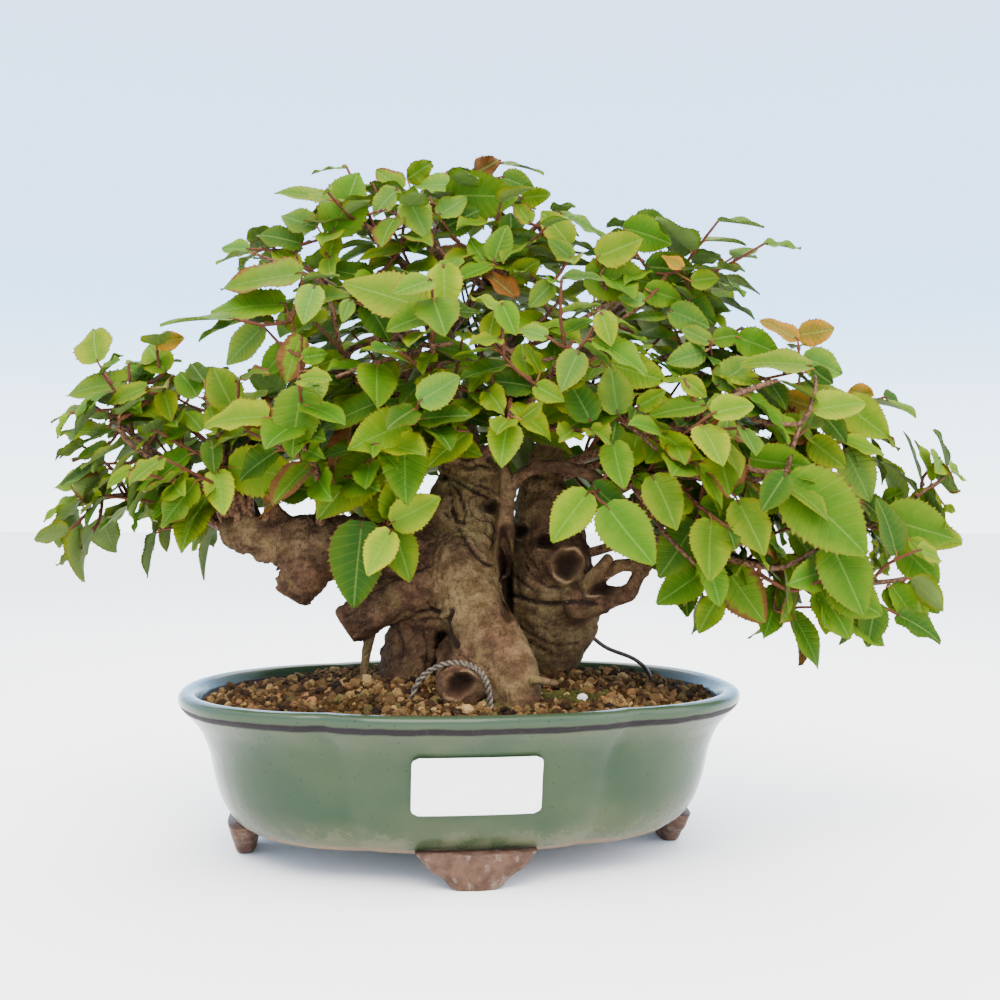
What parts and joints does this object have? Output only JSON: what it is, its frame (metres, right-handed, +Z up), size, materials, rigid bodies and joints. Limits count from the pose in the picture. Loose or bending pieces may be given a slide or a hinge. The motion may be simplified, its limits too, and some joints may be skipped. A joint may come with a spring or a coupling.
{
  "type": "potted bonsai tree",
  "caption": "Broadleaf bonsai with two fused trunks, exposed roots and loose leafy branches, in an oval four-lobed glazed pot with bracket feet",
  "frame": {"origin": "on the ground, under the middle of the whole plant's bounding box", "axes": "X along the pot's long axis and the tree's width, front of the tree towards -Y, Z up"},
  "size_m": [0.3846, 0.1802, 0.2879],
  "materials": {
    "glaze": "glossy green glaze",
    "paper": "plain white coated paper",
    "soil": "loose fired clay granules",
    "bark": "rough grey-brown bark",
    "leaf": "satin leaves on thin twigs",
    "wire": "dull twisted wire",
    "dark_wire": "dark anodised wire",
    "plastic": "moulded mesh"
  },
  "bodies": {
    "root": {"pot": "glaze", "label": "paper", "drain_screen_left": "plastic", "drain_screen_right": "plastic", "soil": "soil", "trunk": "bark", "tie_wire": "wire", "anchor_wire": "dark_wire", "spray_left_low": "leaf", "spray_left_back": "leaf", "spray_left_tip": "leaf", "spray_left_front": "leaf", "spray_left_rear": "leaf", "spray_upper_left": "leaf", "spray_upper_left_back": "leaf", "spray_top_left": "leaf", "spray_top": "leaf", "spray_top_right": "leaf", "spray_front": "leaf", "spray_front_right": "leaf", "spray_right_front": "leaf", "spray_right_long": "leaf", "spray_right_tip": "leaf", "spray_right_low": "leaf", "spray_right_back": "leaf", "spray_upper_right": "leaf", "spray_top_right_low": "leaf", "spray_top_right_back": "leaf", "spray_back": "leaf", "spray_left_mid": "leaf", "spray_front_left": "leaf", "spray_cluster": "leaf", "spray_arc": "leaf"}
  },
  "joints": []
}
